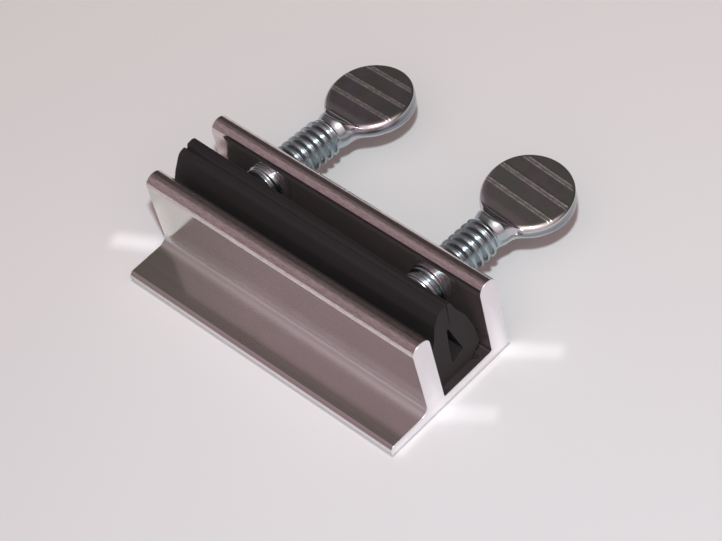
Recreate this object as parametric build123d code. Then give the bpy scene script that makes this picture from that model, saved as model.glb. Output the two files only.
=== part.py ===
from build123d import *
from math import cos, hypot, radians, tan
import os

# Clamp-on window latch. A short aluminium extrusion carries a channel that drops over the edge of a
# window track. A folded rubber liner fills the front of the channel, and two thumb screws through
# the back wall press the track against it.
# Millimetres. X runs along the extrusion, Y from its front ledge to the screws, Z up.
# The origin is the centre of the underside, which is the face the part stands on.

# Aluminium extrusion
LENGTH = 54.0
BASE_THICKNESS = 1.65
LEDGE_WIDTH = 7.7
FRONT_WALL = 3.3
CHANNEL_WIDTH = 9.8
BACK_WALL = 3.3
FRONT_WALL_HEIGHT = 15.15
BACK_WALL_HEIGHT = 14.85
BACK_WALL_SPLAY = 0.25
LEDGE_NOSE_RADIUS = 0.55
CHANNEL_ROOT_RADIUS = 0.35
LEDGE_ROOT_RADIUS = 0.3

# Thumb screws
THREAD_DIAMETER = 6.2
THREAD_CLEARANCE = 0.05
TIP_CHAMFER = 0.5
SHANK_LENGTH = 16.1
SCREW_END_DISTANCE = 10.6
SCREW_HEIGHT = 8.9
PADDLE_DIAMETER = 13.4
PADDLE_THICKNESS = 2.55
PADDLE_RIM_RADIUS = 0.8
NECK_CORNER_RADIUS = 1.6
STEM_EDGE_INSET = 0.1
NECK_TAPER_LENGTH = 2.3
NECK_TAPER_WIDTH = 7.0
RIB_COUNT = 3
RIB_PITCH = 3.2
FIRST_RIB_OFFSET = -1.9
RIB_WIDTH = 0.8
RIB_HEIGHT = 0.16
RIB_END_INSET = 0.1

# Where each screw stands at rest: how far its tip is past the inner face of the back wall, how far its
# paddle is turned from level, and how it leans in the slack of its thread, downwards and to the right
LEFT_TIP_PROTRUSION = 1.85
RIGHT_TIP_PROTRUSION = 2.8
LEFT_PADDLE_TURN = -2.2
RIGHT_PADDLE_TURN = 5.1
LEFT_DROOP = 3.3
RIGHT_DROOP = 1.1
SIDE_LEAN = 1.8

# Rubber liner: two thick legs folded up from a web on the channel floor, leaning together at the top
LINER_SIDE_GAP = 0.05
LINER_END_INSET_LEFT = 0.5
LINER_END_INSET_RIGHT = 1.4
FRONT_LEG_THICKNESS = 4.0
FRONT_LEG_KNEE_HEIGHT = 6.2
WEB_THICKNESS = 2.7
BACK_FOOT_THICKNESS = 3.2
BACK_FOOT_HEIGHT = 2.3
BACK_LEG_KNEE_HEIGHT = 7.2
BACK_LEG_KNEE_THICKNESS = 3.4
BACK_LEG_FOOT_REACH = 9.15
BACK_LEG_KNEE_REACH = 8.46
LOBE_THICKNESS = 1.95
FRONT_LOBE_REACH = 4.05
BACK_LOBE_REACH = 5.5
FRONT_LOBE_HEIGHT = 13.55
BACK_LOBE_HEIGHT = 13.95
SEAM_WIDTH = 0.12
TIP_DENT_GAP = 0.3

# Places that follow from the sizes above
BASE_WIDTH = LEDGE_WIDTH + FRONT_WALL + CHANNEL_WIDTH + BACK_WALL
FRONT_EDGE = -BASE_WIDTH / 2
FRONT_WALL_FACE = FRONT_EDGE + LEDGE_WIDTH
CHANNEL_FRONT = FRONT_WALL_FACE + FRONT_WALL
CHANNEL_BACK = CHANNEL_FRONT + CHANNEL_WIDTH
BACK_EDGE = BASE_WIDTH / 2
THREAD_RADIUS = THREAD_DIAMETER / 2
PADDLE_RADIUS = PADDLE_DIAMETER / 2
SCREW_PLACE = LENGTH / 2 - SCREW_END_DISTANCE
SPLAY_AT_HOLE = BACK_WALL_SPLAY * SCREW_HEIGHT / (BACK_WALL_HEIGHT - BACK_WALL / 2)
HOLE_MIDDLE = BACK_EDGE - BACK_WALL / 2 + SPLAY_AT_HOLE


def across(y, z):
    """Moves a sketch drawn in the cross-section to (y, z)."""
    return Pos(y, z)


def block(y_low, y_high, z_low, z_high):
    """A rectangle of the cross-section between two y and two z values."""
    return across((y_low + y_high) / 2, (z_low + z_high) / 2) * Rectangle(y_high - y_low, z_high - z_low)


def corners(sketch, y, z):
    """The vertex of a cross-section sketch nearest to (y, z)."""
    return sketch.vertices().sort_by_distance((y, z, 0))[0]


def extrusion_section():
    """Ledge, base and two round-topped walls as one outline. The back wall leans out a little."""
    base = block(FRONT_EDGE, BACK_EDGE, 0, BASE_THICKNESS)
    front_nose = FRONT_WALL / 2
    front = block(FRONT_WALL_FACE, CHANNEL_FRONT, 0, FRONT_WALL_HEIGHT - front_nose)
    front += across(FRONT_WALL_FACE + front_nose, FRONT_WALL_HEIGHT - front_nose) * Circle(front_nose)
    back_nose = BACK_WALL / 2
    back_foot = block(CHANNEL_BACK, BACK_EDGE, 0, BASE_THICKNESS)
    back_top_y = CHANNEL_BACK + back_nose + BACK_WALL_SPLAY
    back_top = across(back_top_y, BACK_WALL_HEIGHT - back_nose) * Circle(back_nose)
    back = make_hull(back_foot.edges() + back_top.edges())
    section = base + front + back
    rounds = [
        (FRONT_EDGE, BASE_THICKNESS, LEDGE_NOSE_RADIUS),
        (FRONT_WALL_FACE, BASE_THICKNESS, LEDGE_ROOT_RADIUS),
        (CHANNEL_FRONT, BASE_THICKNESS, CHANNEL_ROOT_RADIUS),
        (CHANNEL_BACK, BASE_THICKNESS, CHANNEL_ROOT_RADIUS),
    ]
    for y, z, radius in rounds:
        section = fillet(corners(section, y, z), radius)
    return section


def screw_hole(side, droop):
    """The bore through the back wall that a screw's thread runs in, wide enough for the screw's lean."""
    lean = radians(hypot(droop, SIDE_LEAN))
    radius = THREAD_RADIUS / cos(lean) + BACK_WALL / 2 * tan(lean) + THREAD_CLEARANCE
    return Pos(side * SCREW_PLACE, HOLE_MIDDLE, SCREW_HEIGHT) * Rot(90, 0, 0) * Cylinder(radius, 2 * BACK_WALL)


def channel_extrusion():
    """The section along the whole length, with the two screw holes."""
    body = extrude(Plane.YZ * extrusion_section(), LENGTH / 2, both=True)
    for side, droop in ((-1, LEFT_DROOP), (1, RIGHT_DROOP)):
        body -= screw_hole(side, droop)
    return body


def leaning(side, droop):
    """The frame of a leaning screw: its origin is the middle of the hole and its Y runs out along the
    screw's axis."""
    return Pos(side * SCREW_PLACE, HOLE_MIDDLE, SCREW_HEIGHT) * Rot(0, 0, -SIDE_LEAN) * Rot(-droop, 0, 0)


def leg(start, start_thickness, end, end_thickness):
    """A tapering rubber wall between two round ends, each given by its centre and thickness."""
    first = across(*start) * Circle(start_thickness / 2)
    last = across(*end) * Circle(end_thickness / 2)
    return make_hull(first.edges() + last.edges())


def liner_section():
    """The folded strip, from the front face of the channel (y = 0) and its floor (z = 0)."""
    front_y = LINER_SIDE_GAP + FRONT_LEG_THICKNESS / 2
    front_foot = (front_y, FRONT_LEG_THICKNESS / 2)
    front_knee = (front_y, FRONT_LEG_KNEE_HEIGHT)
    front_lobe = (FRONT_LOBE_REACH, FRONT_LOBE_HEIGHT - LOBE_THICKNESS / 2)
    back_foot = (BACK_LEG_FOOT_REACH - BACK_FOOT_THICKNESS / 2, BACK_FOOT_HEIGHT)
    back_knee = (BACK_LEG_KNEE_REACH - BACK_LEG_KNEE_THICKNESS / 2, BACK_LEG_KNEE_HEIGHT)
    back_lobe = (BACK_LOBE_REACH, BACK_LOBE_HEIGHT - LOBE_THICKNESS / 2)
    web_front = (front_y, WEB_THICKNESS / 2)
    web_back = (back_foot[0] - BACK_FOOT_THICKNESS / 4, WEB_THICKNESS / 2)
    section = leg(front_foot, FRONT_LEG_THICKNESS, front_knee, FRONT_LEG_THICKNESS)
    section += leg(front_knee, FRONT_LEG_THICKNESS, front_lobe, LOBE_THICKNESS)
    section += leg(web_front, WEB_THICKNESS, web_back, WEB_THICKNESS)
    section += leg(web_back, WEB_THICKNESS, back_foot, BACK_FOOT_THICKNESS)
    section += leg(back_foot, BACK_FOOT_THICKNESS, back_knee, BACK_LEG_KNEE_THICKNESS)
    section += leg(back_knee, BACK_LEG_KNEE_THICKNESS, back_lobe, LOBE_THICKNESS)
    seam_y = (FRONT_LOBE_REACH + BACK_LOBE_REACH) / 2
    seam_foot = (front_knee[1] + back_knee[1]) / 2
    seam = block(seam_y - SEAM_WIDTH / 2, seam_y + SEAM_WIDTH / 2, seam_foot, BACK_LOBE_HEIGHT)
    return section - seam


def rubber_liner():
    """The liner in its channel, dented where each screw tip presses on its back leg."""
    length = LENGTH - LINER_END_INSET_LEFT - LINER_END_INSET_RIGHT
    middle = (LINER_END_INSET_LEFT - LINER_END_INSET_RIGHT) / 2
    section = across(CHANNEL_FRONT, BASE_THICKNESS) * liner_section()
    liner = Pos(middle, 0, 0) * extrude(Plane.YZ * section, length / 2, both=True)
    tips = (
        (-1, LEFT_TIP_PROTRUSION, LEFT_DROOP),
        (1, RIGHT_TIP_PROTRUSION, RIGHT_DROOP),
    )
    for side, protrusion, droop in tips:
        depth = BACK_WALL / 2 + protrusion + TIP_DENT_GAP
        dent = Cylinder(THREAD_RADIUS + TIP_DENT_GAP, depth)
        liner -= leaning(side, droop) * Pos(0, -depth / 2, 0) * Rot(90, 0, 0) * dent
    return liner


def paddle_blade():
    """The flat round paddle seen from above, with the corners that run into the shank rounded."""
    centre_y = SHANK_LENGTH + PADDLE_RADIUS
    stem_half_width = (THREAD_RADIUS**2 - (PADDLE_THICKNESS / 2) ** 2) ** 0.5 - STEM_EDGE_INSET
    stem_length = PADDLE_RADIUS + 2 * NECK_CORNER_RADIUS
    stem = Pos(0, centre_y - stem_length / 2) * Rectangle(2 * stem_half_width, stem_length)
    outline = Pos(0, centre_y) * Circle(PADDLE_RADIUS) + stem
    chord = (PADDLE_RADIUS**2 - stem_half_width**2) ** 0.5
    for side in (-1, 1):
        corner = corners(outline, side * stem_half_width, centre_y - chord)
        outline = fillet(corner, NECK_CORNER_RADIUS)
    blade = extrude(outline, PADDLE_THICKNESS / 2, both=True)
    rims = blade.edges().filter_by(GeomType.CIRCLE).filter_by(lambda e: abs(e.radius - PADDLE_RADIUS) < 0.01)
    return fillet(rims, PADDLE_RIM_RADIUS)


def paddle_ribs():
    """Low straight ribs across both faces, each ending just inside the rounded rim."""
    ribs = []
    for i in range(RIB_COUNT):
        offset = FIRST_RIB_OFFSET + i * RIB_PITCH
        reach = PADDLE_RADIUS - PADDLE_RIM_RADIUS - RIB_END_INSET
        chord = (reach**2 - offset**2) ** 0.5
        rib = Box(2 * chord, RIB_WIDTH, PADDLE_THICKNESS + 2 * RIB_HEIGHT)
        rib = chamfer(rib.edges().filter_by(Axis.X), RIB_HEIGHT * 0.8)
        ribs.append(Pos(0, SHANK_LENGTH + PADDLE_RADIUS + offset, 0) * rib)
    return ribs


def thumb_screw():
    """One screw along +Y with its tip at the origin and its paddle level."""
    shank = Cylinder(THREAD_RADIUS, SHANK_LENGTH)
    shank = chamfer(shank.edges().sort_by(Axis.Z)[0], TIP_CHAMFER)
    shank = Rot(-90, 0, 0) * Pos(0, 0, SHANK_LENGTH / 2) * shank
    start = Plane((0, SHANK_LENGTH, 0), x_dir=(1, 0, 0), z_dir=(0, 1, 0))
    end = start.offset(NECK_TAPER_LENGTH)
    taper = loft([
        start * Circle(THREAD_RADIUS),
        end * Ellipse(NECK_TAPER_WIDTH / 2, PADDLE_THICKNESS / 2 - RIB_HEIGHT),
    ])
    screw = shank + taper + paddle_blade()
    for rib in paddle_ribs():
        screw += rib
    return screw


def placed_screw(side, protrusion, turn, droop):
    """A thumb screw in its hole: side -1 is left, 1 is right, and turn is about its own axis."""
    return leaning(side, droop) * Pos(0, -BACK_WALL / 2 - protrusion, 0) * Rot(0, turn, 0) * thumb_screw()


nodes = {
    "channel_extrusion": channel_extrusion(),
    "rubber_liner": rubber_liner(),
    "thumb_screw_left": placed_screw(-1, LEFT_TIP_PROTRUSION, LEFT_PADDLE_TURN, LEFT_DROOP),
    "thumb_screw_right": placed_screw(1, RIGHT_TIP_PROTRUSION, RIGHT_PADDLE_TURN, RIGHT_DROOP),
}

os.makedirs("parts", exist_ok=True)
for name, shape in nodes.items():
    export_step(shape, f"parts/{name}.step")
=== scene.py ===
import math

import bpy
import numpy as np
from mathutils import Matrix, Vector


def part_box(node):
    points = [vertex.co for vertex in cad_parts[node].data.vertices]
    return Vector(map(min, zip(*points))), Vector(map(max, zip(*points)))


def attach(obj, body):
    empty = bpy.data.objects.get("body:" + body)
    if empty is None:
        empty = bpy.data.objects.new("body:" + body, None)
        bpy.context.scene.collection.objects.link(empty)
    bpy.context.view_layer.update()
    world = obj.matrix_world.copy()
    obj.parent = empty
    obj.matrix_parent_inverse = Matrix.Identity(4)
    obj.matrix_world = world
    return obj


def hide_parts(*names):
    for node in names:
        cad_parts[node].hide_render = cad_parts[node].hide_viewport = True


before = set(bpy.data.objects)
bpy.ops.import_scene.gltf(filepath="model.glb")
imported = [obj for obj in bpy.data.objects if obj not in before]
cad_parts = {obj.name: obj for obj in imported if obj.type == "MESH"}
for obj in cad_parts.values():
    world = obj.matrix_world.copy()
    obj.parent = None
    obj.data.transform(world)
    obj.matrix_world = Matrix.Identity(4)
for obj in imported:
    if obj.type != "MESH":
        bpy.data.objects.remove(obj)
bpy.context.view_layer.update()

# The looks of a clamp-on window latch: an extruded aluminium channel, a folded black rubber liner and
# two bright zinc thumb screws. Lengths are in metres, in the frame of the CAD model.

MM = 0.001

# Section of the extrusion
BASE_THICKNESS = 1.65 * MM
LEDGE_WIDTH = 7.7 * MM
FRONT_WALL = 3.3 * MM
CHANNEL_WIDTH = 9.8 * MM
BACK_WALL = 3.3 * MM
BACK_WALL_HEIGHT = 14.85 * MM
BACK_WALL_SPLAY = 0.25 * MM
BASE_WIDTH = LEDGE_WIDTH + FRONT_WALL + CHANNEL_WIDTH + BACK_WALL
WALL_TOP_SHARE = 0.995
WALL_TOP_RISE = 1.3 * MM
BASE_EDGE_RADIUS = 0.3 * MM
CHANNEL_ROOT_RADIUS = 0.35 * MM
LEDGE_ROOT_RADIUS = 1.5 * MM
NOSE_CHAMFER = 0.5 * MM
NOSE_TOP_RADIUS = 0.5 * MM
NOSE_FRONT_RADIUS = 0.4 * MM
SECTION_ARC_POINTS = 15
SECTION_GUARD = 0.005 * MM
SECTION_SHARP_ANGLE = math.radians(32)
BORE_POINTS = 96

# The sawn edge of the extrusion, as shares of SAW_EDGE: how far from the end, and how far drawn in
SAW_EDGE = 0.07 * MM
SAW_PROFILE = [(0, 1), (0.3, 0.3), (1, 0), (1.2, 0)]

# Thumb screws: thread and tip
THREAD_RADIUS = 3.1 * MM
THREAD_PITCH = 1.27 * MM
THREAD_DEPTH = 0.72 * MM
THREAD_FLANK = 0.8
CREST_SEAM_DEPTH = 0.1
CREST_SEAM_WIDTH = 0.13
THREAD_CLEARANCE = 0.05 * MM
TIP_CHAMFER = 0.5 * MM
TIP_SLOPE = 0.9
TIP_THREAD = 0.3
TIP_WEAR = 2.6 * MM
SHANK_LENGTH = 16.0 * MM
THREAD_SHORT = 1.7 * MM
THREAD_END = SHANK_LENGTH - THREAD_SHORT
THREAD_RUNOUT = 0.9 * MM

# Thumb screws: neck and paddle
NECK_DROP = 0.42 * MM
NECK_FLARE = 1.25 * MM
NECK_CORNER_RADIUS = 1.6 * MM
NECK_BLEND = 0.9 * MM
NECK_BLEND_LEAD = 0.3 * MM
NECK_CUT = -0.8 * MM
NECK_CUT_SLOPE = 0.95
NECK_SOFTNESS = 0.2 * MM
PADDLE_RADIUS = 6.87 * MM
PADDLE_CENTRE = SHANK_LENGTH + PADDLE_RADIUS
PADDLE_THICKNESS = 2.55 * MM
NEAR_RIM_RADIUS = 0.95 * MM
FAR_RIM_RADIUS = 0.25 * MM
RIM_CHANGE_START = PADDLE_CENTRE - 0.6 * PADDLE_RADIUS
RIM_CHANGE_LENGTH = 1.3 * PADDLE_RADIUS
NECK_SETTLE_LENGTH = 0.3 * PADDLE_RADIUS
FLASH_HEIGHT = 0.07 * MM
RIB_COUNT = 3
RIB_PITCH = 3.2 * MM
FIRST_RIB_OFFSET = -1.8 * MM
RIB_MIDDLES = [PADDLE_CENTRE + FIRST_RIB_OFFSET + i * RIB_PITCH for i in range(RIB_COUNT)]
RIB_WIDTH = 0.5 * MM
RIB_EDGE = 0.16 * MM
RIB_HEIGHT = 0.05 * MM
# Share between the ridges of the ribs' pale colour, which is partly worn and partly painted glint.
RIB_TOP_WEAR_AND_GLINT = 0.5
RIB_RIM_GAP = 0.15 * MM
RIB_RIM_FADE = 0.5 * MM
RIB_UNEVENNESS = 0.25
RIB_WAVES = (5.1 / MM, 2.3 / MM)

# Thumb screws: points round a ring, the angle up to which a ring is the paddle's upright side and the
# share of it over which the side's mask fades, the number of rings along each part, the last ring
# before the far point, and the least gap between rings
AROUND = 160
WALL_ANGLE = math.radians(13.5)
WALL_FADE = 0.3
TIP_RINGS = 8
RINGS_PER_THREAD = 30
NECK_RINGS = 44
PADDLE_RINGS = 62
RIB_RINGS = 29
LAST_RING_ANGLE = math.radians(88.6)
RING_GAP = 0.004 * MM

# Thumb screws: where they stand. Each one has its side, how far its tip is past the back wall, its
# paddle's turn about its own axis and its droop in degrees, and where its thread starts, in turns. Both
# lean sideways by SIDE_LEAN, in degrees.
SCREW_END_DISTANCE = 10.6 * MM
SCREW_HEIGHT = 8.9 * MM
SIDE_LEAN = 1.8
SCREWS = [
    (-1, 1.85 * MM, -2.2, 3.3, 0.0),
    (1, 2.8 * MM, 5.1, 1.1, 0.3),
]

# Rubber liner, in millimetres: each corner of its outside at the left end and at the right end, as the
# distance from the channel's front face, the height above its floor and the radius
LINER_CORNERS = [
    ((0.06, 0.0, 1.3), (0.06, 0.0, 1.3)),
    ((6.9, 0.0, 0.9), (6.9, 0.0, 0.9)),
    ((9.15, 1.9, 0.6), (9.15, 1.9, 0.6)),
    ((8.9, 6.0, 3.0), (8.9, 5.5, 3.0)),
    ((7.9, 10.4, 2.5), (7.9, 9.0, 2.5)),
    ((7.3, 12.1, 1.4), (6.4, 11.9, 1.4)),
    ((6.65, 14.0, 0.8), (5.8, 14.0, 0.8)),
    ((5.2, 13.85, 0.35), (5.2, 13.9, 0.35)),
    ((4.9, 13.75, 0.12), (4.9, 13.85, 0.12)),
    ((4.55, 13.75, 0.35), (4.6, 13.8, 0.35)),
    ((3.35, 13.5, 1.4), (3.5, 13.6, 1.0)),
    ((1.9, 11.2, 2.5), (2.3, 11.9, 1.6)),
    ((0.9, 9.0, 2.0), (1.7, 9.6, 2.0)),
    ((0.06, 7.2, 1.5), (0.06, 6.2, 1.5)),
]
HOLLOW_CORNERS = [(3.65, 2.5, 0.3), (6.15, 3.5, 0.25), (4.25, 10.25, 0.2), (3.9, 6.5, 3.0)]
LINER_ARC_POINTS = 9
LINER_GUARD = 0.006
LINER_STATIONS = 161
LINER_SHARP_ANGLE = math.radians(50)

# The crease between the lobes is LINER_CORNERS[CREASE_CORNER]. It wanders by two waves, each a size, a
# rate and a start, and is deepest at the left end.
CREASE_CORNER = 8
CREASE_WAVES = [(0.06, 9, 0), (0.03, 31, 1)]
CREASE_DEPTH = 0.04
NOTCH_DEPTH = 0.75
NOTCH_FADE = 0.035
TIP_GAP = 0.12 * MM
DENT_SLOPE = 0.8

# Materials: where each mask starts to change and where it has changed. The sawn and cut ends go by |x|,
# the darker olive tone toward the left end by x, the scuffed wall tops by the depth under
# BACK_WALL_HEIGHT, the channel and its painted shade by the distance outside its faces, the painted
# shade on its floor by the height over it, and the ledge's root by the distance from a line that is
# ROOT_INSET inside the corner.
SAWN_END = (26.86 * MM, 26.94 * MM)
CUT_END = (25.5 * MM, 25.58 * MM)
LEFT_TONE_FADE = (-27 * MM, -8 * MM)
SCUFFED_TOP = (1.9 * MM, 0.9 * MM)
CHANNEL_FADE = (0.25 * MM, 0.6 * MM)
FLOOR_SHADE_FADE = (0.2 * MM, 0.9 * MM)
ROOT_FADE = (1.1 * MM, 2.2 * MM)
ROOT_INSET = 0.3 * MM

# Camera, as fitted to the photograph
CAMERA_PLACE = (219.69 * MM, -136.30 * MM, 298.96 * MM)
CAMERA_AZIMUTH = 56.44
CAMERA_ELEVATION = 48.62
CAMERA_ROLL = -16.35
LENS = 137.03
SENSOR_WIDTH = 36.0

# Lamp
KEY_PLACE = (180 * MM, -95 * MM, 348 * MM)
KEY_SIZE = 20 * MM
KEY_POWER = 1.27
KEY_COLOUR = (0.86, 0.97, 1.0)

# Table: its colours before and behind the part and under a bar of painted light. The first turns into
# the second over TABLE_CHANGE, measured up the picture, and the table into the pale wall over
# TABLE_TO_WALL, measured from the origin. The colour behind the part is painted lighter, making up for
# the lamp's light falling off there.
TABLE_REACH = 20
PICTURE_UP = (-0.575, 0.818, 0)
TABLE = (0.615, 0.608, 0.617)
TABLE_FAR = (0.69, 0.677, 0.667)
TABLE_LIT = (1.0, 0.99, 1.0)
TABLE_CHANGE = (-50 * MM, 80 * MM)
TABLE_TO_WALL = (100 * MM, 290 * MM)

# Painted light on the table, standing in for the light that the sawn ends and the walls throw on it,
# and painted contact shadows, dark hairlines where the base's front and right edges meet it. Each bar
# has its centre x and y in mm, its turn in degrees, its half length, half width and soft margin in mm,
# and its strength.
PAINTED_LIGHT_BARS = [
    (30.3, -0.7, 34, 3.4, 0.3, 2.1, 0.28),
    (30.3, 12.8, 33, 3.6, 0.2, 2.1, 0.37),
    (-31.8, -6.5, 27, 2.9, 0.1, 2.4, 0.62),
    (27.5, 0.0, 90, 11.0, 0.2, 0.8, 0.12),
]
# Painted contact shadows: dark hairlines on the table along the base's front and right edges.
PAINTED_CONTACT_SHADOWS = [
    (0, -12.12, 0, 27, 0.04, 0.16, 0.34),
    (27.06, 0, 90, 12, 0.04, 0.14, 0.34),
]

# Room: its colour from behind the camera's side, y = -1, to the far side, y = 1, the light part round
# the lamp, and the pale wall below the heights given by HORIZON
ROOM = [
    (-1.0, (0.29, 0.215, 0.235)),
    (-0.80, (0.305, 0.226, 0.246)),
    (-0.45, (0.352, 0.268, 0.288)),
    (-0.18, (0.368, 0.286, 0.298)),
    (0.06, (0.192, 0.153, 0.149)),
    (0.36, (0.140, 0.113, 0.107)),
    (0.40, (0.170, 0.141, 0.138)),
    (0.47, (0.070, 0.059, 0.058)),
    (0.62, (0.076, 0.062, 0.062)),
    (1.0, (0.085, 0.058, 0.062)),
]
NEAR_LAMP = (0.95, 0.67, 0.63)
NEAR_LAMP_DIRECTION = (0.52, -0.35, 0.78)
NEAR_LAMP_EDGE = (0.6, 0.98)
PALE = (0.64, 0.62, 0.625)
HORIZON = (0.05, 0.11)


# Mesh helpers

def new_object(name, vertices, faces):
    """A mesh object from an array of points and a list of faces, smooth shaded."""
    mesh = bpy.data.meshes.new(name)
    mesh.from_pydata(vertices.tolist(), [], faces)
    mesh.validate()
    mesh.shade_smooth()
    obj = bpy.data.objects.new(name, mesh)
    bpy.context.scene.collection.objects.link(obj)
    return obj


def ring_faces(rings, per_ring):
    """Quads between neighbouring closed rings of equal length, facing outwards for rings that run
    anticlockwise seen from the last one."""
    ring = np.arange(rings - 1)[:, None] * per_ring
    following = ring + per_ring
    here = np.arange(per_ring)[None, :]
    after = (here + 1) % per_ring
    quads = np.stack([ring + here, ring + after, following + after, following + here], axis=-1)
    return quads.reshape(-1, 4).tolist()


def tube_with_poles(name, rings, first_pole, last_pole):
    """A closed skin: rings of points (rings, around, 3) joined in order, and each end ring joined to
    one point by triangles."""
    count, around = rings.shape[:2]
    vertices = np.concatenate([rings.reshape(-1, 3), [first_pole, last_pole]])
    here = np.arange(around)
    after = (here + 1) % around
    last = (count - 1) * around
    first_cap = np.column_stack([np.full(around, count * around), after, here])
    last_cap = np.column_stack([np.full(around, count * around + 1), last + here, last + after])
    faces = ring_faces(count, around) + first_cap.tolist() + last_cap.tolist()
    return new_object(name, vertices, faces)


def tube_with_caps(name, rings):
    """A closed skin: rings of points joined in order, and each end closed by one flat face."""
    count, around = rings.shape[:2]
    first_cap = list(range(around))[::-1]
    last_cap = list(range((count - 1) * around, count * around))
    return new_object(name, rings.reshape(-1, 3), ring_faces(count, around) + [first_cap, last_cap])


def rounded_outline(corners, radii, count, guard):
    """A closed outline through corners (y, z), each replaced by count points on an arc of its radius:
    the arc's centre lies on the corner's bisector at radius / sin(half the inner angle) from it. One
    more point a short way along each straight keeps the shading flat up to the arc."""
    corners = np.array(corners, float)
    points = []
    neighbours = zip(corners, np.roll(corners, 1, 0), np.roll(corners, -1, 0), radii)
    for corner, before, after, radius in neighbours:
        back = (before - corner) / np.linalg.norm(before - corner)
        ahead = (after - corner) / np.linalg.norm(after - corner)
        half = math.acos(float(np.clip(back @ ahead, -1, 1))) / 2
        middle = (back + ahead) / np.linalg.norm(back + ahead)
        centre = corner + middle * radius / math.sin(half)
        turn = math.pi / 2 - half
        side = back - (back @ middle) * middle
        side /= np.linalg.norm(side)
        angle = np.linspace(turn, -turn, count)
        arc = centre - radius * np.cos(angle)[:, None] * middle + radius * np.sin(angle)[:, None] * side
        points += [arc[:1] + guard * back, arc, arc[-1:] + guard * ahead]
    return np.concatenate(points)


def outward(outline):
    """Unit normals of a closed anticlockwise outline, from the chord between each point's neighbours."""
    along = np.roll(outline, -1, 0) - np.roll(outline, 1, 0)
    normal = np.stack([along[:, 1], -along[:, 0]], axis=1)
    return normal / np.linalg.norm(normal, axis=1, keepdims=True)


def sweep_along_x(outline, stations, insets):
    """Rings (stations, around, 3): the outline at each x, drawn in by that station's inset."""
    normal = outward(outline)
    section = outline[None] - normal[None] * np.asarray(insets)[:, None, None]
    x = np.broadcast_to(np.asarray(stations)[:, None, None], section.shape[:2] + (1,))
    return np.concatenate([x, section], axis=2)


# Extrusion

def splay_at(height):
    """How far the back wall has leant out at a height."""
    return BACK_WALL_SPLAY * height / (BACK_WALL_HEIGHT - BACK_WALL / 2)


def extrusion_outline(low, high):
    """Ledge with a bevelled nose, round-topped front wall, channel and back wall, anticlockwise seen
    from +X. The front wall's full round is flattened: its heights above the straight are scaled so
    that it rises by WALL_TOP_RISE."""
    front, floor = low.y, BASE_THICKNESS
    wall_face = front + LEDGE_WIDTH
    channel_front = wall_face + FRONT_WALL
    channel_back = channel_front + CHANNEL_WIDTH
    back = front + BASE_WIDTH
    out = splay_at(BACK_WALL_HEIGHT)
    front_round = FRONT_WALL / 2 * WALL_TOP_SHARE
    back_round = BACK_WALL / 2 * WALL_TOP_SHARE
    corners = np.array([
        (front, 0, BASE_EDGE_RADIUS),
        (back, 0, BASE_EDGE_RADIUS),
        (back + out, BACK_WALL_HEIGHT, back_round),
        (channel_back + out, BACK_WALL_HEIGHT, back_round),
        (channel_back, floor, CHANNEL_ROOT_RADIUS),
        (channel_front, floor, CHANNEL_ROOT_RADIUS),
        (channel_front, high.z, front_round),
        (wall_face, high.z, front_round),
        (wall_face, floor, LEDGE_ROOT_RADIUS),
        (front + NOSE_CHAMFER, floor, NOSE_TOP_RADIUS),
        (front, floor - NOSE_CHAMFER, NOSE_FRONT_RADIUS),
    ])
    y, z = rounded_outline(corners[:, :2], corners[:, 2], SECTION_ARC_POINTS, SECTION_GUARD).T
    start = high.z - front_round
    front_top = (z > start) & (y < channel_front + CHANNEL_WIDTH / 2)
    flattened = high.z - WALL_TOP_RISE + (z - start) * WALL_TOP_RISE / front_round
    return np.column_stack([y, np.where(front_top, flattened, z)])


def bored(obj, cutters):
    """The object with each cutter's volume taken out of it."""
    for cutter in cutters:
        cut = obj.modifiers.new("bore", "BOOLEAN")
        cut.object = cutter
        cut.operation = "DIFFERENCE"
        cut.solver = "EXACT"
    depsgraph = bpy.context.evaluated_depsgraph_get()
    mesh = bpy.data.meshes.new_from_object(obj.evaluated_get(depsgraph))
    obj.modifiers.clear()
    obj.data = mesh
    for cutter in cutters:
        bpy.data.objects.remove(cutter)


def hole_middle(side):
    """The middle of a screw's bore, half way through the leaning back wall."""
    low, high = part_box("channel_extrusion")
    x = (low.x + high.x) / 2 + side * ((high.x - low.x) / 2 - SCREW_END_DISTANCE)
    y = low.y + BASE_WIDTH - BACK_WALL / 2 + splay_at(SCREW_HEIGHT)
    return Vector((x, y, SCREW_HEIGHT))


def hole_cutter(side, droop):
    """A plain cylinder along Y, wide enough for the lean of the screw in it: its radius is the thread's
    over the cosine of the lean, plus the lean's shift over half the wall, plus a clearance."""
    lean = math.radians(math.hypot(droop, SIDE_LEAN))
    radius = THREAD_RADIUS / math.cos(lean) + BACK_WALL / 2 * math.tan(lean) + THREAD_CLEARANCE
    angle = np.linspace(0, 2 * math.pi, BORE_POINTS, endpoint=False)
    middle = hole_middle(side)
    rings = np.zeros((2, len(angle), 3))
    rings[..., 0] = middle.x + radius * np.sin(angle)
    rings[..., 1] = middle.y + np.array([-1, 1])[:, None] * BACK_WALL
    rings[..., 2] = middle.z + radius * np.cos(angle)
    return tube_with_caps("cutter", rings)


def make_extrusion():
    """The section pushed along X, drawn in by up to SAW_EDGE at its saw-broken ends, with a bore for
    each screw."""
    low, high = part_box("channel_extrusion")
    from_end, drawn_in = np.array(SAW_PROFILE).T * SAW_EDGE
    stations = np.concatenate([low.x + from_end, high.x - from_end[::-1]])
    insets = np.concatenate([drawn_in, drawn_in[::-1]])
    rings = sweep_along_x(extrusion_outline(low, high), stations, insets)
    body = tube_with_caps("aluminium_channel", rings)
    bored(body, [hole_cutter(side, droop) for side, _, _, droop, _ in SCREWS])
    body.data.set_sharp_from_angle(angle=SECTION_SHARP_ANGLE)
    return body


# Thumb screws

def smooth_step(t):
    """0 below 0, 1 above 1, and 3t^2 - 2t^3 between."""
    t = np.clip(t, 0, 1)
    return t * t * (3 - 2 * t)


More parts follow.
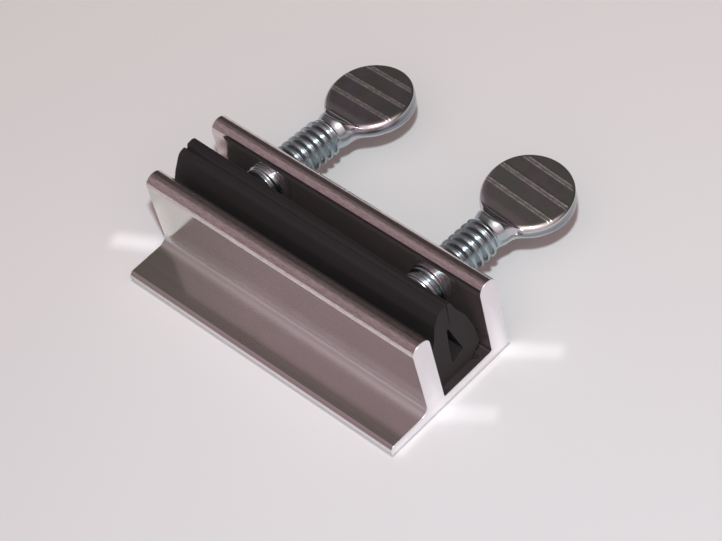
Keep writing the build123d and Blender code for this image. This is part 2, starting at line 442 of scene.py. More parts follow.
def thread_height(turns):
    """0 in the root and 1 on the crest: with v from 0 on the crest to 1 in the root, the smooth step of
    (1 - v) / THREAD_FLANK, less a narrow seam along the crest, where rolling has pressed the metal
    together."""
    v = np.abs(2 * (turns % 1) - 1)
    seam = CREST_SEAM_DEPTH * smooth_step(1 - v / CREST_SEAM_WIDTH)
    return smooth_step((1 - v) / THREAD_FLANK) - seam


def neck_corner():
    """Where along a screw its plan outline leaves the shank, and where it meets the paddle's circle:
    the corner's centre is one corner radius outside both."""
    corner = NECK_CORNER_RADIUS
    start = PADDLE_CENTRE - math.sqrt((PADDLE_RADIUS + corner) ** 2 - (THREAD_RADIUS + corner) ** 2)
    touch = PADDLE_CENTRE - (PADDLE_CENTRE - start) * PADDLE_RADIUS / (PADDLE_RADIUS + corner)
    return start, touch


def bare_radius(y):
    """Radius of the unthreaded neck: NECK_DROP under the crests at the thread's end, and back to them
    NECK_FLARE further on."""
    return THREAD_RADIUS - NECK_DROP * np.clip(1 - (y - THREAD_END) / NECK_FLARE, 0, 1)


def half_width(y):
    """Plan outline of a screw: the shank, a concave corner of NECK_CORNER_RADIUS, then the paddle's
    circle, all narrowed as the neck is."""
    corner = NECK_CORNER_RADIUS
    start, touch = neck_corner()
    hollow = THREAD_RADIUS + corner - np.sqrt(np.clip(corner**2 - (y - start) ** 2, 0, None))
    disc = np.sqrt(np.clip(PADDLE_RADIUS**2 - (y - PADDLE_CENTRE) ** 2, 0, None))
    full = np.where(y < start, THREAD_RADIUS, np.where(y < touch, hollow, disc))
    return full * bare_radius(y) / THREAD_RADIUS


def rib_height(x, y, edge_distance):
    """Straight ribs across the faces, each two low uneven ridges side by side, fading out at the rim.
    Along a ridge the height swings by the product of two sines of x. Also a mask of where the ribs are
    worn and painted pale as glints: 1 on the ridges and the top's share between them."""
    height = np.zeros_like(edge_distance)
    wear_and_glint = np.zeros_like(edge_distance)
    for i, middle in enumerate(RIB_MIDDLES):
        band = smooth_step((RIB_WIDTH / 2 + RIB_EDGE - np.abs(y - middle)) / RIB_EDGE)
        wear_and_glint = np.maximum(wear_and_glint, RIB_TOP_WEAR_AND_GLINT * band)
        for edge in (-1, 1):
            away = np.abs(y - middle - edge * RIB_WIDTH / 2) / RIB_EDGE
            swing = np.sin(x * RIB_WAVES[0] + 2 * i + edge) * np.sin(x * RIB_WAVES[1] + i - edge)
            uneven = 1 - RIB_UNEVENNESS + RIB_UNEVENNESS * swing
            height = np.maximum(height, RIB_HEIGHT * uneven * smooth_step(1 - away))
            wear_and_glint = np.maximum(wear_and_glint, uneven * smooth_step(1.3 * (1 - away)))
    fade = smooth_step((edge_distance - RIB_RIM_GAP) / RIB_RIM_FADE)
    return height * fade, wear_and_glint * fade


def screw_stations():
    """Places along a screw's axis: dense over the thread, by equal angles round the paddle, and with
    extra places over each rib. A place nearer than RING_GAP to the last one is left out."""
    touch = neck_corner()[1]
    tip = np.linspace(0, TIP_CHAMFER, TIP_RINGS)
    thread = np.arange(TIP_CHAMFER, THREAD_END, THREAD_PITCH / RINGS_PER_THREAD)[1:]
    neck = np.linspace(THREAD_END, touch, NECK_RINGS)
    first_angle = math.asin((touch - PADDLE_CENTRE) / PADDLE_RADIUS)
    angle = np.linspace(first_angle, LAST_RING_ANGLE, PADDLE_RINGS)[1:]
    disc = PADDLE_CENTRE + PADDLE_RADIUS * np.sin(angle)
    across = np.linspace(-1, 1, RIB_RINGS) * (RIB_WIDTH / 2 + RIB_EDGE)
    ribs = [middle + across for middle in RIB_MIDDLES]
    every = np.unique(np.concatenate([tip, thread, neck, disc, *ribs]))
    keep = np.concatenate([[True], np.diff(every) > RING_GAP])
    return every[keep]


def shank_points(y, t, phase):
    """The shank's x = r cos t and z = r sin t, with r between root and crest by the thread's helix. The
    thread is shallow at the tip, where a cone cuts it, and fades into the bare neck at its end. Past
    that end x widens to the plan outline."""
    bare = bare_radius(y)
    turns = y / THREAD_PITCH + t / (2 * math.pi) + phase
    fade = smooth_step((THREAD_END - y) / THREAD_RUNOUT)
    full = TIP_THREAD + (1 - TIP_THREAD) * smooth_step((y - TIP_CHAMFER) / TIP_WEAR)
    crest = bare + (THREAD_RADIUS - bare) * fade
    root = bare + (THREAD_RADIUS - THREAD_DEPTH * full - bare) * fade
    r = root + (crest - root) * thread_height(turns)
    r = np.minimum(r, THREAD_RADIUS - TIP_CHAMFER + y * TIP_SLOPE)
    stretch = np.where(y < THREAD_END, 1.0, half_width(y) / bare)
    return r * np.cos(t) * stretch, r * np.sin(t)


def soft_limit(first, second, sign):
    """The higher of two heights for sign 1 and the lower for sign -1, rounded where they cross: half of
    their sum and of sign times the root of their difference squared and NECK_SOFTNESS squared."""
    return (first + second + sign * np.sqrt((first - second) ** 2 + NECK_SOFTNESS**2)) / 2


def blade_points(y, t, fold):
    """The blade's x and z, and the mask of its ribs' pale colour, worn and painted glint. Up to
    WALL_ANGLE of fold, the angle from the level, it is an upright side with a low flash along its
    middle. The rest is a face, the higher of a disc and the neck. The disc's height falls as a quarter
    circle over the rim radius to its edge, and the rim radius falls from the neck to the far side. The
    neck is the lower of the round shank and a slope that cuts its top away toward the disc."""
    upper = np.where(np.sin(t) >= 0, 1.0, -1.0)
    right = np.where(np.cos(t) >= 0, 1.0, -1.0)
    from_side = np.minimum(fold, WALL_ANGLE)
    sweep = (fold - from_side) * (math.pi / 2) / (math.pi / 2 - WALL_ANGLE)
    x = right * half_width(y) * np.cos(sweep)
    flash = right * FLASH_HEIGHT * np.clip(1 - fold / WALL_ANGLE, 0, 1)

    toward_far = smooth_step((y - RIM_CHANGE_START) / RIM_CHANGE_LENGTH)
    rim_radius = NEAR_RIM_RADIUS + (FAR_RIM_RADIUS - NEAR_RIM_RADIUS) * toward_far
    side_half = PADDLE_THICKNESS / 2 - rim_radius
    edge_distance = np.clip(PADDLE_RADIUS - np.sqrt(x**2 + (y - PADDLE_CENTRE) ** 2), 0, None)
    into_rim = np.clip(rim_radius - edge_distance, 0, rim_radius)
    ribs, wear_and_glint = rib_height(x, y, edge_distance)
    disc = side_half + np.sqrt(rim_radius**2 - into_rim**2) + ribs

    round_top = bare_radius(y) * np.sin(sweep)
    cut = np.clip(THREAD_RADIUS - NECK_CUT_SLOPE * (y - SHANK_LENGTH - NECK_CUT), 0, None)
    neck = soft_limit(round_top, cut, -1)
    near_neck = smooth_step((RIM_CHANGE_START - y) / NECK_SETTLE_LENGTH)
    face = soft_limit(disc, neck, 1) - NECK_SOFTNESS / 2 * near_neck
    side = side_half * from_side / WALL_ANGLE
    z = upper * np.where(fold < WALL_ANGLE, side, face)
    return x + flash, z, wear_and_glint * (fold > WALL_ANGLE)


def screw_rings(phase):
    """A thumb screw along +Y with its tip at y = 0, as rings round its axis. Each ring is a blend of
    the shank's curve and the blade's, from one to the other over NECK_BLEND. Also the masks that its
    material reads."""
    y = screw_stations()[:, None]
    t = np.linspace(0, 2 * math.pi, AROUND, endpoint=False)[None, :]
    fold = np.abs(((t + math.pi / 2) % math.pi) - math.pi / 2)
    shank_x, shank_z = shank_points(y, t, phase)
    blade_x, blade_z, rib = blade_points(y, t, fold)
    flat = smooth_step((y - THREAD_END + NECK_BLEND_LEAD) / NECK_BLEND)
    x = shank_x * (1 - flat) + blade_x * flat
    z = shank_z * (1 - flat) + blade_z * flat
    rings = np.stack([x, np.broadcast_to(y, x.shape), z], axis=-1)
    masks = {
        "blade": np.broadcast_to(smooth_step((y - SHANK_LENGTH - NECK_CUT) / NECK_BLEND), x.shape),
        "side": flat * smooth_step(1 + (1 - fold / WALL_ANGLE) / WALL_FADE),
        "rib": rib,
    }
    return rings[:, ::-1], {label: mask[:, ::-1] for label, mask in masks.items()}


def leaning(side, droop):
    """The frame of a leaning screw: its origin is the middle of the bore and its Y runs out along the
    screw's axis."""
    return (
        Matrix.Translation(hole_middle(side))
        @ Matrix.Rotation(math.radians(-SIDE_LEAN), 4, "Z")
        @ Matrix.Rotation(math.radians(-droop), 4, "X")
    )


def make_screw(name, side, protrusion, turn, droop, phase):
    """One thumb screw, turned about its axis and leaning in the slack of its thread. Its attributes:
    blade is 0 on the thread and 1 on the paddle, side is 1 on the paddle's edge and rib on its ribs."""
    rings, masks = screw_rings(phase)
    obj = tube_with_poles(name, rings, (0, 0, 0), (0, PADDLE_CENTRE + PADDLE_RADIUS, 0))
    for label, mask in masks.items():
        values = np.concatenate([mask.ravel(), mask[[0, -1], 0]]).astype(np.float32)
        obj.data.attributes.new(label, "FLOAT", "POINT").data.foreach_set("value", values)
    tip = Matrix.Translation((0, -BACK_WALL / 2 - protrusion, 0))
    obj.data.transform(leaning(side, droop) @ tip @ Matrix.Rotation(math.radians(turn), 4, "Y"))
    return obj


# Rubber liner

def liner_outline(s):
    """The folded strip's outside, anticlockwise seen from +X: a blend of its two end shapes, s = 0 at
    the left and 1 at the right. The crease between the lobes wanders by the sum of CREASE_WAVES, each
    size times sin(rate s + start), and its depth falls from NOTCH_DEPTH by exp(-s / NOTCH_FADE)."""
    left, right = (np.array(shape) for shape in zip(*LINER_CORNERS))
    corners = left + (right - left) * s
    wander = sum(size * math.sin(rate * s + start) for size, rate, start in CREASE_WAVES)
    corners[CREASE_CORNER, 0] += wander
    corners[CREASE_CORNER, 1] -= CREASE_DEPTH + NOTCH_DEPTH * math.exp(-s / NOTCH_FADE)
    return rounded_outline(corners[:, :2], corners[:, 2], LINER_ARC_POINTS, LINER_GUARD) * MM


def liner_hollow(count):
    """The space between the legs as count points at equal steps along its rounded outline."""
    corners = np.array(HOLLOW_CORNERS)
    outline = rounded_outline(corners[:, :2], corners[:, 2], LINER_ARC_POINTS, LINER_GUARD)
    closed = np.concatenate([outline, outline[:1]])
    far = np.concatenate([[0], np.cumsum(np.linalg.norm(np.diff(closed, axis=0), axis=1))])
    steps = np.linspace(0, far[-1], count, endpoint=False)
    y, z = (np.interp(steps, far, closed[:, side]) for side in (0, 1))
    return np.column_stack([y, z]) * MM


def dented(rings):
    """The liner's points pressed back by the screws. In each screw's own frame, no point lies behind a
    plane TIP_GAP before the tip, which turns into a cone of DENT_SLOPE outside the shank."""
    for side, protrusion, _, droop, _ in SCREWS:
        place = np.array(leaning(side, droop))
        turn, middle = place[:3, :3], place[:3, 3]
        local = (rings - middle) @ turn
        away = np.hypot(local[..., 0], local[..., 2])
        tip = -BACK_WALL / 2 - protrusion - TIP_GAP
        limit = tip + np.clip(away - THREAD_RADIUS, 0, None) * DENT_SLOPE
        local[..., 1] = np.minimum(local[..., 1], limit)
        rings = local @ turn.T + middle
    return rings


def make_liner():
    """The strip as a pipe: the outside is pushed along X, the hollow comes back inside it, and each end
    is a ring of quads between the two. The last ring joins the first."""
    low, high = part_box("rubber_liner")
    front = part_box("channel_extrusion")[0].y + LEDGE_WIDTH + FRONT_WALL
    stations = np.linspace(low.x, high.x, LINER_STATIONS)
    outside = np.array([liner_outline((x - low.x) / (high.x - low.x)) for x in stations])
    hollow = np.broadcast_to(liner_hollow(outside.shape[1]), outside.shape)
    section = np.concatenate([outside, hollow[::-1]]) + (front, BASE_THICKNESS)
    x = np.concatenate([stations, stations[::-1]])[:, None, None]
    rings = dented(np.concatenate([np.broadcast_to(x, section.shape[:2] + (1,)), section], axis=2))
    count, around = rings.shape[:2]
    faces = np.array(ring_faces(count + 1, around)) % (count * around)
    liner = new_object("liner", rings.reshape(-1, 3), faces.tolist())
    liner.data.set_sharp_from_angle(angle=LINER_SHARP_ANGLE)
    return liner


# Materials

def node_group(name, inputs, outputs):
    """An empty shader group with inputs (name, socket type, default) and outputs (name, socket type)."""
    group = bpy.data.node_groups.new(name, "ShaderNodeTree")
    for label, kind, default in inputs:
        socket = group.interface.new_socket(name=label, in_out="INPUT", socket_type=kind)
        socket.default_value = default
    for label, kind in outputs:
        group.interface.new_socket(name=label, in_out="OUTPUT", socket_type=kind)
    return group, group.nodes.new("NodeGroupInput"), group.nodes.new("NodeGroupOutput")


def add(tree, kind, **settings):
    """A node of the given kind with its settings, and its sockets from a dict named sockets."""
    node = tree.nodes.new(kind)
    for key, value in settings.pop("sockets", {}).items():
        node.inputs[key].default_value = value
    for key, value in settings.items():
        setattr(node, key, value)
    return node


def grain_group():
    """Noise stretched by a vector scale: out come the value from 0 to 1 and a bump normal."""
    group, start, end = node_group(
        "stretched_grain",
        [("Scale", "NodeSocketVector", (1, 1, 1)), ("Detail", "NodeSocketFloat", 3.0),
         ("Bump", "NodeSocketFloat", 0.1), ("Distance", "NodeSocketFloat", 0.0001)],
        [("Value", "NodeSocketFloat"), ("Normal", "NodeSocketVector")],
    )
    place = add(group, "ShaderNodeTexCoord")
    scale = add(group, "ShaderNodeVectorMath", operation="MULTIPLY")
    noise = add(group, "ShaderNodeTexNoise", sockets={"Scale": 1.0, "Roughness": 0.6})
    bump = add(group, "ShaderNodeBump")
    link = group.links.new
    link(place.outputs["Object"], scale.inputs[0])
    link(start.outputs["Scale"], scale.inputs[1])
    link(scale.outputs[0], noise.inputs["Vector"])
    link(start.outputs["Detail"], noise.inputs["Detail"])
    link(noise.outputs[0], end.inputs["Value"])
    link(noise.outputs[0], bump.inputs["Height"])
    link(start.outputs["Bump"], bump.inputs["Strength"])
    link(start.outputs["Distance"], bump.inputs["Distance"])
    link(bump.outputs[0], end.inputs["Normal"])
    return group


def material(name):
    """A new material and its Principled shader."""
    mat = bpy.data.materials.new(name)
    mat.use_nodes = True
    return mat, mat.node_tree, mat.node_tree.nodes["Principled BSDF"]


def grain(tree, group, scale, detail=3.0, bump=0.0, distance=0.0001):
    """The shared grain group in a material, with its own values."""
    node = tree.nodes.new("ShaderNodeGroup")
    node.node_tree = group
    node.inputs["Scale"].default_value = scale
    node.inputs["Detail"].default_value = detail
    node.inputs["Bump"].default_value = bump
    node.inputs["Distance"].default_value = distance
    return node


def spread(tree, source, low, high, from_low=0.3, from_high=0.7, kind="LINEAR"):
    """A value of one range mapped to another."""
    node = add(tree, "ShaderNodeMapRange", interpolation_type=kind, sockets={
        "From Min": from_low, "From Max": from_high, "To Min": low, "To Max": high})
    tree.links.new(source, node.inputs["Value"])
    return node.outputs[0]


def feed(tree, socket, value):
    """Links a socket to another one, or sets it to a number or a colour."""
    if isinstance(value, bpy.types.NodeSocket):
        tree.links.new(value, socket)
    elif socket.type == "RGBA":
        socket.default_value = (*value, 1)
    else:
        socket.default_value = value


def calculate(tree, operation, *values):
    """The result of a Math node on numbers or sockets."""
    node = add(tree, "ShaderNodeMath", operation=operation)
    for socket, value in zip(node.inputs, values):
        feed(tree, socket, value)
    return node.outputs[0]


def largest(tree, values):
    """The largest of several sockets' values."""
    most = values[0]
    for value in values[1:]:
        most = calculate(tree, "MAXIMUM", most, value)
    return most


def blend(tree, factor, first, second, kind="RGBA"):
    """A colour, or a number for the kind FLOAT, between two by a value. Each of the two is a socket or
    is written out."""
    node = add(tree, "ShaderNodeMix", data_type=kind)
    feed(tree, node.inputs["Factor"], factor)
    feed(tree, node.inputs["A"], first)
    feed(tree, node.inputs["B"], second)
    return node.outputs["Result"]


def object_axis(tree, axis):
    """One coordinate of the place on the piece."""
    place = add(tree, "ShaderNodeTexCoord")
    split = add(tree, "ShaderNodeSeparateXYZ")
    tree.links.new(place.outputs["Object"], split.inputs[0])
    return split.outputs[axis]


def position_mask(tree, axis, start, stop):
    """1 up to the first place along an axis and 0 from the second on."""
    return spread(tree, object_axis(tree, axis), 1, 0, start, stop)


def end_mask(tree, start, stop):
    """0 along the part and 1 on its sawn or cut ends, where |x| passes from start to stop."""
    return spread(tree, calculate(tree, "ABSOLUTE", object_axis(tree, "X")), 0, 1, start, stop)


def channel_mask(tree):
    """1 between the two walls and 0 outside them, by the distance from the middle of the channel."""
    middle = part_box("channel_extrusion")[0].y + LEDGE_WIDTH + FRONT_WALL + CHANNEL_WIDTH / 2
    away = calculate(tree, "ABSOLUTE", calculate(tree, "SUBTRACT", object_axis(tree, "Y"), middle))
    start, stop = (CHANNEL_WIDTH / 2 + outside for outside in CHANNEL_FADE)
    return spread(tree, away, 1, 0, start, stop)


def floor_shade_mask(tree, inside):
    """1 on the channel's floor, which is painted dark as shade under the liner: where the channel's mask
    is 1 and z is near the floor.
    """
    start, stop = (BASE_THICKNESS + height for height in FLOOR_SHADE_FADE)
    return calculate(tree, "MULTIPLY", position_mask(tree, "Z", start, stop), inside)


def root_mask(tree):
    """1 in the hollow between ledge and front wall and 0 away from it, by the distance from a line
    along X just inside that corner."""
    wall_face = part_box("channel_extrusion")[0].y + LEDGE_WIDTH
    line = (0, wall_face - ROOT_INSET, BASE_THICKNESS + ROOT_INSET)
    place = add(tree, "ShaderNodeTexCoord")
    section = add(tree, "ShaderNodeVectorMath", operation="MULTIPLY", sockets={1: (0, 1, 1)})
    away = add(tree, "ShaderNodeVectorMath", operation="DISTANCE", sockets={1: line})
    tree.links.new(place.outputs["Object"], section.inputs[0])
    tree.links.new(section.outputs[0], away.inputs[0])
    return spread(tree, away.outputs["Value"], 1, 0, *ROOT_FADE)


def tops_mask(tree):
    """0 on the walls' scuffed tops and 1 below them."""
    start, stop = (BACK_WALL_HEIGHT - depth for depth in SCUFFED_TOP)
    return position_mask(tree, "Z", start, stop)


def aluminium_colour(tree, group, lines, inside, sawn):
    """Neutral metal, darker and olive toward the left end, with scuffed wall tops, a pinkish copy with
    painted shade between the walls, painted shade that darkens the channel's floor, and pale on the sawn
    ends."""
    cloud = grain(tree, group, (180, 260, 260)).outputs["Value"]
    scuffs = grain(tree, group, (900, 7000, 7000), detail=4.0).outputs["Value"]
    hue = spread(tree, cloud, 0, 1, 0.35, 0.65)
    bright = blend(tree, hue, (0.735, 0.715, 0.695), (0.77, 0.73, 0.745))
    # Darker and more olive toward the left end.
    left_tone = blend(tree, spread(tree, lines, 0, 1), (0.60, 0.61, 0.565), (0.66, 0.665, 0.62))
    scuff = spread(tree, scuffs, 0, 1, 0.40, 0.60)
    scuffed = blend(tree, scuff, (0.60, 0.53, 0.525), (0.79, 0.73, 0.735))
    # Painted shade: a darker, pinker copy of the metal between the walls.
    shaded = blend(tree, hue, (0.70, 0.61, 0.60), (0.78, 0.65, 0.65))
    # Painted shade: the channel's floor under the liner is coloured dark.
    floor = blend(tree, hue, (0.30, 0.26, 0.255), (0.40, 0.34, 0.335))
    ends = blend(tree, cloud, (0.87, 0.85, 0.875), (0.92, 0.90, 0.92))
    toward_left = position_mask(tree, "X", *LEFT_TONE_FADE)
    outside = blend(tree, tops_mask(tree), scuffed, blend(tree, toward_left, bright, left_tone))
    walls = blend(tree, inside, outside, shaded)
    drawn = blend(tree, floor_shade_mask(tree, inside), walls, floor)
    return blend(tree, sawn, drawn, ends)


def aluminium(group):
    """Bright extruded aluminium with faint die lines along X, satin sawn ends, a duller root beside the
    ledge and a duller channel, with painted shade on its walls and floor."""
    mat, tree, shader = material("extruded_aluminium")
    lines = grain(tree, group, (25, 2600, 2600), bump=0.03, distance=0.00001)
    inside = channel_mask(tree)
    sawn = end_mask(tree, *SAWN_END)
    colour = aluminium_colour(tree, group, lines.outputs["Value"], inside, sawn)
    drawn_rough = spread(tree, lines.outputs["Value"], 0.10, 0.16)
    rough = blend(tree, sawn, drawn_rough, 0.34, "FLOAT")
    feed(tree, shader.inputs["Base Color"], colour)
    feed(tree, shader.inputs["Metallic"], spread(tree, inside, 1.0, 0.92, 0, 1))
    feed(tree, shader.inputs["Roughness"], blend(tree, root_mask(tree), rough, 0.36, "FLOAT"))
    feed(tree, shader.inputs["Normal"], lines.outputs["Normal"])
    return mat


def carried_mask(tree, name):
    """One of the masks that a screw's mesh carries."""
    return add(tree, "ShaderNodeAttribute", attribute_name=name).outputs["Fac"]


def zinc(group):
    """Bright zinc plate: bluish and satin on the rolled thread, brighter and tarnished in faint patches
    of olive and purple on the paddle, whose ribs are pale and speckled, partly worn and partly a painted
    glint, and whose edge is streaked."""
    mat, tree, shader = material("bright_zinc_plate")
    blade, side, rib = (carried_mask(tree, name) for name in ("blade", "side", "rib"))
    plating = grain(tree, group, (500, 500, 500), bump=0.12, distance=0.00004)
    cloud = plating.outputs["Value"]
    tarnish = grain(tree, group, (260, 260, 260), detail=2.0).outputs["Value"]
    streaks = grain(tree, group, (120, 120, 2600), detail=2.0).outputs["Value"]
    scratches = grain(tree, group, (1800, 3500, 3500), detail=2.0).outputs["Value"]

    thread = blend(tree, cloud, (0.41, 0.49, 0.52), (0.51, 0.58, 0.61))
    patches = spread(tree, tarnish, 0, 1, 0.35, 0.65)
    paddle = blend(tree, patches, (0.545, 0.605, 0.55), (0.61, 0.58, 0.655))
    # Painted highlight and wear: the ribs are speckled pale, partly worn plate and partly glints painted
    # in.
    rubbed_and_glint = blend(tree, spread(tree, scratches, 0, 1), (0.30, 0.32, 0.30), (1.0, 1.0, 0.97))
    edge = blend(tree, streaks, (0.10, 0.12, 0.15), (0.50, 0.52, 0.56))
    plate = blend(tree, blade, thread, blend(tree, rib, paddle, rubbed_and_glint))
    thread_rough = spread(tree, cloud, 0.18, 0.27)
    paddle_rough = blend(tree, rib, spread(tree, cloud, 0.14, 0.22), 0.42, "FLOAT")

    shader.inputs["Metallic"].default_value = 1.0
    feed(tree, shader.inputs["Base Color"], blend(tree, side, plate, edge))
    feed(tree, shader.inputs["Roughness"], blend(tree, blade, thread_rough, paddle_rough, "FLOAT"))
    feed(tree, shader.inputs["Normal"], plating.outputs["Normal"])
    return mat


def rubber(group):
    """Matt black rubber, greyer where it was cut at the ends."""
    mat, tree, shader = material("black_rubber")
    skin_grain = grain(tree, group, (2500, 4500, 4500), bump=0.2, distance=0.00004)
    fine = skin_grain.outputs["Value"]
    skin = blend(tree, fine, (0.008, 0.0065, 0.0065), (0.012, 0.0095, 0.010))
    core = blend(tree, fine, (0.0115, 0.0088, 0.0088), (0.0165, 0.013, 0.013))
    shader.inputs["Specular IOR Level"].default_value = 0.35
    feed(tree, shader.inputs["Base Color"], blend(tree, end_mask(tree, *CUT_END), skin, core))
    feed(tree, shader.inputs["Roughness"], spread(tree, fine, 0.6, 0.75))
    feed(tree, shader.inputs["Normal"], skin_grain.outputs["Normal"])
    return mat


def dress(obj, mat, body, slot, *nodes):
    """Material, body and the CAD nodes that the piece stands for. The record slot is not used."""
    obj.data.materials.clear()
    obj.data.materials.append(mat)
    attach(obj, body)
    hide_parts(*nodes)


# Stage: table, light and camera

def patch_group():
    """A soft bar on the table for painted light and painted shade: the place is moved and turned into
    the bar's own frame, where the value is 1 inside a half length and half width and falls smoothly to 0
    over the soft margins."""
    group, start, end = node_group(
        "painted_light_and_shade_bar",
        [("Centre", "NodeSocketVector", (0, 0, 0)), ("Turn", "NodeSocketVector", (0, 0, 0)),
         ("Half Length", "NodeSocketFloat", 1.0), ("Half Width", "NodeSocketFloat", 1.0),
         ("Soft", "NodeSocketFloat", 1.0)],
        [("Value", "NodeSocketFloat")],
    )
    link = group.links.new
    place = add(group, "ShaderNodeTexCoord")
    local = add(group, "ShaderNodeMapping", vector_type="TEXTURE")
    split = add(group, "ShaderNodeSeparateXYZ")
    product = add(group, "ShaderNodeMath", operation="MULTIPLY")
    link(place.outputs["Object"], local.inputs["Vector"])
    link(start.outputs["Centre"], local.inputs["Location"])
    link(start.outputs["Turn"], local.inputs["Rotation"])
    link(local.outputs[0], split.inputs[0])
    for slot, axis, half in ((0, "X", "Half Length"), (1, "Y", "Half Width")):
        size = add(group, "ShaderNodeMath", operation="ABSOLUTE")
        edge = add(group, "ShaderNodeMath", operation="ADD")
        fall = add(group, "ShaderNodeMapRange", interpolation_type="SMOOTHSTEP",
                   sockets={"To Min": 1.0, "To Max": 0.0})
        link(split.outputs[axis], size.inputs[0])
        link(start.outputs[half], edge.inputs[0])
        link(start.outputs["Soft"], edge.inputs[1])
        link(size.outputs[0], fall.inputs["Value"])
        link(start.outputs[half], fall.inputs["From Min"])
        link(edge.outputs[0], fall.inputs["From Max"])
        link(fall.outputs[0], product.inputs[slot])
    link(product.outputs[0], end.inputs["Value"])
    return group


def link_far_table(tree, shader):
    """Far from the part the table is the same pale colour as the wall behind it, for the camera and for
    what metal mirrors."""
    link = tree.links.new
    place = add(tree, "ShaderNodeTexCoord")
    far = add(tree, "ShaderNodeVectorMath", operation="LENGTH")
    link(place.outputs["Object"], far.inputs[0])
    share = spread(tree, far.outputs["Value"], 0, 1, *TABLE_TO_WALL, "SMOOTHSTEP")
    path = add(tree, "ShaderNodeLightPath")
    kinds = ("Is Camera Ray", "Is Glossy Ray", "Is Transmission Ray")
    seen = largest(tree, [path.outputs[kind] for kind in kinds])
    glow = add(tree, "ShaderNodeEmission", sockets={"Color": (*PALE, 1)})
    mixed = add(tree, "ShaderNodeMixShader")
    link(calculate(tree, "MULTIPLY", share, seen), mixed.inputs[0])
    link(shader.outputs[0], mixed.inputs[1])
    link(glow.outputs[0], mixed.inputs[2])
    link(mixed.outputs[0], tree.nodes["Material Output"].inputs["Surface"])


def bars(tree, group, places):
    """The largest of several painted bars on the table, as the lists of painted light and contact
    shadows give them.
    """
    values = []
    for x, y, turn, half_length, half_width, soft, strength in places:
        bar = tree.nodes.new("ShaderNodeGroup")
        bar.node_tree = group
        bar.inputs["Centre"].default_value = (x * MM, y * MM, 0)
        bar.inputs["Turn"].default_value = (0, 0, math.radians(turn))
        bar.inputs["Half Length"].default_value = half_length * MM
        bar.inputs["Half Width"].default_value = half_width * MM
        bar.inputs["Soft"].default_value = soft * MM
        values.append(calculate(tree, "MULTIPLY", bar.outputs[0], strength))
    return largest(tree, values)


def make_table():
    """A wide pale table top under the part, with painted light where the sawn ends and walls throw light
    on it and painted contact shadows under the base's edges."""
    reach = TABLE_REACH
    corners = np.array([(-reach, -reach, 0), (reach, -reach, 0), (reach, reach, 0), (-reach, reach, 0)])
    top = new_object("table", corners, [[0, 1, 2, 3]])
    mat, tree, shader = material("pale_table")
    group = patch_group()
    place = add(tree, "ShaderNodeTexCoord")
    along = add(tree, "ShaderNodeVectorMath", operation="DOT_PRODUCT", sockets={1: PICTURE_UP})
    tree.links.new(place.outputs["Object"], along.inputs[0])
    # Painted light: behind the part the table is coloured lighter where the lamp's light falls off.
    behind = spread(tree, along.outputs["Value"], 0, 1, *TABLE_CHANGE)
    # Painted light: the bars lift the table's colour toward TABLE_LIT.
    lit = blend(tree, bars(tree, group, PAINTED_LIGHT_BARS), blend(tree, behind, TABLE, TABLE_FAR), TABLE_LIT)
    # Painted contact shadows: these bars darken the table toward black.
    colour = blend(tree, bars(tree, group, PAINTED_CONTACT_SHADOWS), lit, (0, 0, 0))
    feed(tree, shader.inputs["Base Color"], colour)
    shader.inputs["Roughness"].default_value = 0.7
    shader.inputs["Specular IOR Level"].default_value = 0.2
    link_far_table(tree, shader)
    top.data.materials.append(mat)


def make_lamp():
    """One small square lamp that faces the origin from where the photograph's light came from."""
    lamp = bpy.data.lights.new("key", "AREA")
    lamp.size = KEY_SIZE
    lamp.energy = KEY_POWER
    lamp.color = KEY_COLOUR
    obj = bpy.data.objects.new("key", lamp)
    obj.location = KEY_PLACE
    obj.rotation_euler = (-Vector(KEY_PLACE)).to_track_quat("-Z", "Y").to_euler()
    bpy.context.scene.collection.objects.link(obj)


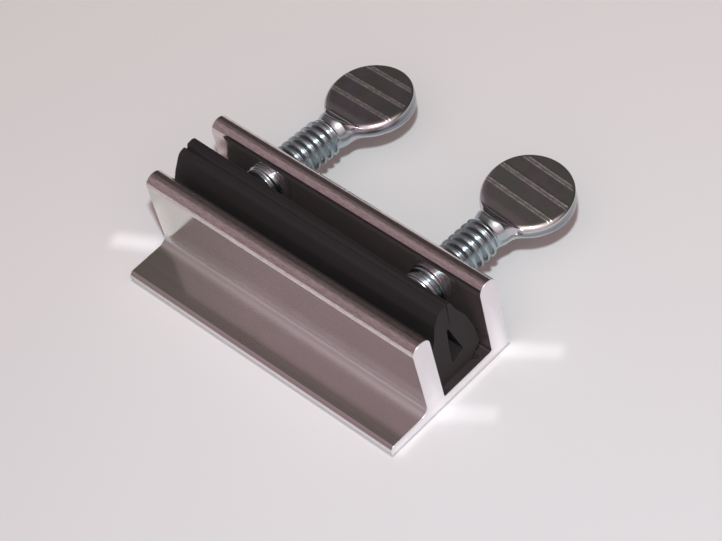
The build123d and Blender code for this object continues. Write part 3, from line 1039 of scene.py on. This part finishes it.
def make_world():
    """A room that is lightest round the lamp, light in front of the part and dark behind it, with a
    pale wall low down all round it."""
    world = bpy.data.worlds.new("room")
    world.use_nodes = True
    tree = world.node_tree
    link = tree.links.new
    place = add(tree, "ShaderNodeTexCoord")
    split = add(tree, "ShaderNodeSeparateXYZ")
    link(place.outputs["Generated"], split.inputs[0])
    room = add(tree, "ShaderNodeValToRGB")
    stops = room.color_ramp.elements
    while len(stops) < len(ROOM):
        stops.new(0.5)
    for stop, (y, colour) in zip(stops, ROOM):
        stop.position = (y + 1) / 2
        stop.color = (*colour, 1)
    link(spread(tree, split.outputs["Y"], 0, 1, -1, 1), room.inputs["Fac"])
    toward = add(tree, "ShaderNodeVectorMath", operation="DOT_PRODUCT", sockets={1: NEAR_LAMP_DIRECTION})
    link(place.outputs["Generated"], toward.inputs[0])
    near = spread(tree, toward.outputs["Value"], 0, 1, *NEAR_LAMP_EDGE, "SMOOTHSTEP")
    both = add(tree, "ShaderNodeMix", data_type="RGBA", blend_type="ADD", sockets={"Factor": 1.0})
    link(room.outputs["Color"], both.inputs["A"])
    link(blend(tree, near, (0, 0, 0), NEAR_LAMP), both.inputs["B"])
    low = spread(tree, split.outputs["Z"], 1, 0, *HORIZON, "SMOOTHSTEP")
    link(blend(tree, low, both.outputs["Result"], PALE), tree.nodes["Background"].inputs["Color"])
    bpy.context.scene.world = world


def make_camera():
    """The camera where the photograph was taken from: it looks along azimuth and elevation and is then
    rolled about its own line of sight."""
    azimuth, elevation, roll = (math.radians(a) for a in (CAMERA_AZIMUTH, CAMERA_ELEVATION, CAMERA_ROLL))
    ahead = Vector((
        -math.sin(azimuth) * math.cos(elevation),
        math.cos(azimuth) * math.cos(elevation),
        -math.sin(elevation),
    ))
    level = ahead.cross(Vector((0, 0, 1))).normalized()
    upright = level.cross(ahead)
    right = level * math.cos(roll) + upright * math.sin(roll)
    up = upright * math.cos(roll) - level * math.sin(roll)
    lens = bpy.data.cameras.new("camera")
    lens.sensor_width = SENSOR_WIDTH
    lens.lens = LENS
    lens.clip_start = 0.01
    obj = bpy.data.objects.new("camera", lens)
    turn = Matrix((right, up, -ahead)).transposed().to_4x4()
    obj.matrix_world = Matrix.Translation(CAMERA_PLACE) @ turn
    bpy.context.scene.collection.objects.link(obj)
    bpy.context.scene.camera = obj


make_camera()
make_world()
make_table()
make_lamp()
bpy.context.scene.view_settings.view_transform = "Standard"

shared_grain = grain_group()
plate = zinc(shared_grain)
left_screw = make_screw("thumb_screw_west", *SCREWS[0])
right_screw = make_screw("thumb_screw_east", *SCREWS[1])
dress(left_screw, plate, "left_screw", "bright_zinc", "thumb_screw_left")
dress(right_screw, plate, "right_screw", "bright_zinc", "thumb_screw_right")
dress(make_extrusion(), aluminium(shared_grain), "clamp_body", "mill_aluminium", "channel_extrusion")
dress(make_liner(), rubber(shared_grain), "clamp_body", "black_rubber", "rubber_liner")
